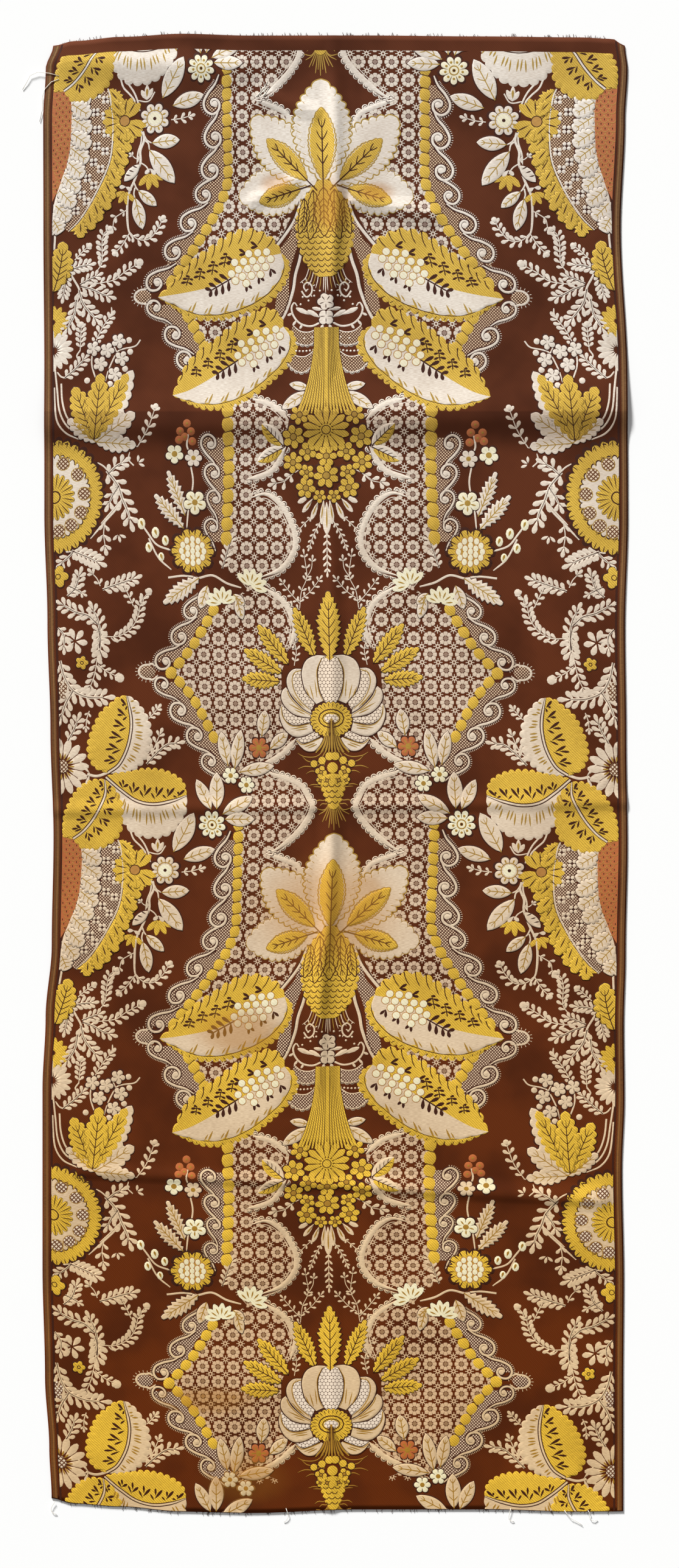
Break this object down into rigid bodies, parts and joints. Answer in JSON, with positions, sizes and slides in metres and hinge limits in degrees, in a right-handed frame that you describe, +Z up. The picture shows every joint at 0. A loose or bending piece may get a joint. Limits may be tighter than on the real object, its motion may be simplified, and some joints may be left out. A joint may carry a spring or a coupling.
{
  "type": "brocaded silk panel",
  "caption": "Loom-width length of patterned silk lying flat, with low fold ridges, woven selvages down both sides and cut ends.",
  "frame": {"origin": "on the surface that the cloth lies on, under the middle of its bounding box", "axes": "+Y along the warp towards the unpatterned heading, +X across the loom width, +Z up out of the patterned face"},
  "size_m": [0.5468, 1.3808, 0.0068],
  "materials": {
    "brown_ground": "satin",
    "gold_weft": "satin",
    "cream_weft": "satin",
    "ivory_weft": "satin",
    "coral_weft": "satin",
    "loose_thread": "matte"
  },
  "bodies": {
    "root": {"silk_panel": "brown_ground"}
  },
  "joints": []
}
